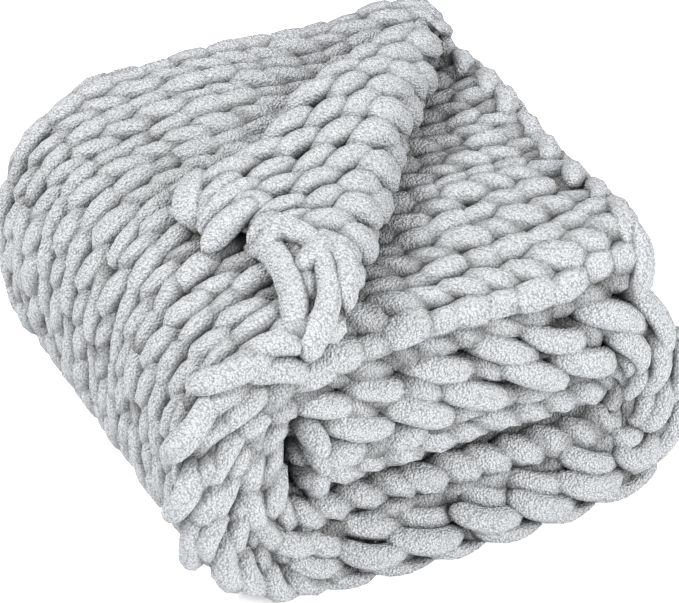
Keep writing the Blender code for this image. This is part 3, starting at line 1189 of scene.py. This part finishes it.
def border_data(border, settings, seed):
    """A border's chain of stitches, laid along its edge and turned to face outward from it."""
    table = np.linspace(border.start, border.end, TABLE_STEPS)
    level = np.zeros(TABLE_STEPS)
    line = on_edge(border.edge, table, level, level)
    reach = np.concatenate([[0.0], np.cumsum(np.linalg.norm(np.diff(line, axis=0), axis=1))])
    courses = max(1, round(reach[-1] / border.pitch))
    pitch = reach[-1] / courses
    rng = np.random.default_rng(seed)
    paths = chain(settings, rng, courses, pitch, border.wide, border.rows)
    data = sweep_yarn(border.name, paths, settings, seed)
    points = mesh_points(data)
    place = np.interp(points[:, 1], reach, table)
    place = place + np.clip(points[:, 1] - reach[-1], 0, None) + np.clip(points[:, 1], None, 0)
    across, raised = points[:, 0], points[:, 2] * SQUASH
    tilt = math.radians(border.tilt)
    inset = np.interp(place, *zip(*border.insets))
    inward = inset + across * math.sin(tilt) - raised * math.cos(tilt)
    w = across * math.cos(tilt) + raised * math.sin(tilt)
    set_mesh_points(data, on_edge(border.edge, place, inward, w))
    face_outward(data)
    return data


def merge_data(name, parts):
    """Several meshes as one, with their attributes."""
    items = []
    for part in parts:
        item = bpy.data.objects.new(name, part)
        bpy.context.scene.collection.objects.link(item)
        items.append(item)
    with bpy.context.temp_override(active_object=items[0], selected_editable_objects=items):
        bpy.ops.object.join()
    data = items[0].data
    bpy.data.objects.remove(items[0], do_unlink=True)
    return data


class BLANKET_OT_borders(bpy.types.Operator):
    """Work the chained borders round the blanket's edges"""

    bl_idname = "blanket.borders"
    bl_label = "Borders"
    makes = tuple(BORDERS)

    def execute(self, context):
        seed = SEED_BORDER
        for name, borders in BORDERS.items():
            parts = []
            for border in borders:
                parts.append(border_data(border, context.scene.blanket_yarn, seed))
                seed += 1
            add_piece(name, merge_data(name, parts))
        return {'FINISHED'}


class BLANKET_OT_stage(bpy.types.Operator):
    """Set the plain floor, the soft light and the camera"""

    bl_idname = "blanket.stage"
    bl_label = "Stage"

    def execute(self, context):
        settings = context.scene.blanket_stage
        add_floor()
        add_lights(settings)
        add_camera(settings)
        return {'FINISHED'}


class SoftLight(NamedTuple):
    """A square soft light: its place, its width and its power."""

    name: str
    place: tuple
    size: float
    power: float


AIM = Vector((0.0084, -0.0014, 0.1285))
SENSOR = 36.0
PICTURE_WIDTH = 679
SHIFT_RIGHT_PX, SHIFT_UP_PX = 0.4, 2.2
LIGHTS = (
    SoftLight("key_light", (-1.7, 0.5, 2.6), 0.9, 112),
    SoftLight("fill_light", (0.9, -2.8, 1.9), 2.0, 142),
)
SURROUND = 0.54
FLOOR_SIZE = 6.0


def add_floor():
    """A wide pale floor."""
    mesh = bmesh.new()
    bmesh.ops.create_grid(mesh, x_segments=2, y_segments=2, size=FLOOR_SIZE)
    data = bpy.data.meshes.new("floor")
    mesh.to_mesh(data)
    mesh.free()
    material = bpy.data.materials.new("Pale floor")
    material.use_nodes = True
    set_inputs(material.node_tree.nodes["Principled BSDF"], {
        "Base Color": (0.93, 0.93, 0.935, 1.0),
        "Roughness": 0.9,
        "Specular IOR Level": 0.1,
        "Emission Color": (1.0, 1.0, 1.0, 1.0),
        "Emission Strength": 0.30,
    })
    data.materials.append(material)
    floor = bpy.data.objects.new("floor", data)
    bpy.context.scene.collection.objects.link(floor)


def add_lights(settings):
    """Soft studio light from above, and an even white surround."""
    for item in LIGHTS:
        data = bpy.data.lights.new(item.name, 'AREA')
        data.shape = 'SQUARE'
        data.size = item.size
        data.energy = item.power * settings.light
        light = bpy.data.objects.new(item.name, data)
        light.location = item.place
        light.rotation_euler = (AIM - Vector(item.place)).to_track_quat('-Z', 'Y').to_euler()
        bpy.context.scene.collection.objects.link(light)
    world = bpy.data.worlds.new("Surround")
    world.use_nodes = True
    set_inputs(world.node_tree.nodes["Background"], {
        "Color": (1.0, 1.0, 1.0, 1.0),
        "Strength": SURROUND * settings.light,
    })
    bpy.context.scene.world = world
    bpy.context.scene.view_settings.view_transform = 'Standard'


def add_camera(settings):
    """The camera at the photograph's angle."""
    data = bpy.data.cameras.new("camera")
    data.sensor_width = SENSOR
    data.lens = settings.lens
    data.shift_x = -SHIFT_RIGHT_PX / PICTURE_WIDTH
    data.shift_y = -SHIFT_UP_PX / PICTURE_WIDTH
    data.dof.use_dof = False
    camera = bpy.data.objects.new("camera", data)
    azimuth, elevation = settings.azimuth, settings.elevation
    back = Vector((
        math.sin(azimuth) * math.cos(elevation),
        -math.cos(azimuth) * math.cos(elevation),
        math.sin(elevation),
    ))
    camera.location = AIM + back * settings.distance
    camera.rotation_euler = back.to_track_quat('Z', 'Y').to_euler()
    bpy.context.scene.collection.objects.link(camera)
    bpy.context.scene.camera = camera


class BLANKET_OT_gaps(bpy.types.Operator):
    """Mark how open each point of the yarn lies, for the shade of the gaps"""

    bl_idname = "blanket.gaps"
    bl_label = "Gaps between stitches"

    def execute(self, context):
        store_openness(yarn_pieces())
        return {'FINISHED'}


class BLANKET_PT_panel(bpy.types.Panel):
    """Sizes, colours and steps of the blanket"""

    bl_idname = "BLANKET_PT_panel"
    bl_label = "Blanket"
    bl_space_type = 'VIEW_3D'
    bl_region_type = 'UI'
    bl_category = "Blanket"

    def draw(self, context):
        layout = self.layout
        for group in (context.scene.blanket_yarn, context.scene.blanket_stage):
            for name in group.bl_rna.properties.keys():
                if name not in {"rna_type", "name"}:
                    layout.prop(group, name)
        for step in STEPS:
            layout.operator(step.bl_idname)


STEPS = (
    BLANKET_OT_stage,
    BLANKET_OT_cloth,
    BLANKET_OT_outer_knit,
    BLANKET_OT_inner_knit,
    BLANKET_OT_turned_corner,
    BLANKET_OT_borders,
    BLANKET_OT_gaps,
)
CLASSES = (YarnSettings, StageSettings, *STEPS, BLANKET_PT_panel)


def register():
    for item in CLASSES:
        bpy.utils.register_class(item)
    bpy.types.Scene.blanket_yarn = PointerProperty(type=YarnSettings)
    bpy.types.Scene.blanket_stage = PointerProperty(type=StageSettings)


def unregister():
    del bpy.types.Scene.blanket_yarn
    del bpy.types.Scene.blanket_stage
    for item in reversed(CLASSES):
        bpy.utils.unregister_class(item)


def yarn_pieces():
    """Every piece that is knitted yarn."""
    names = [name for step in STEPS for name in getattr(step, "makes", ())]
    return [bpy.data.objects[name] for name in names]


def declare_cloth():
    """Gather the knitted pieces; nothing more is done with them."""
    knitted = yarn_pieces()


def main():
    register()
    for step in STEPS:
        area, name = step.bl_idname.split(".")
        getattr(getattr(bpy.ops, area), name)()
    declare_cloth()


if __name__ == "__main__":
    main()
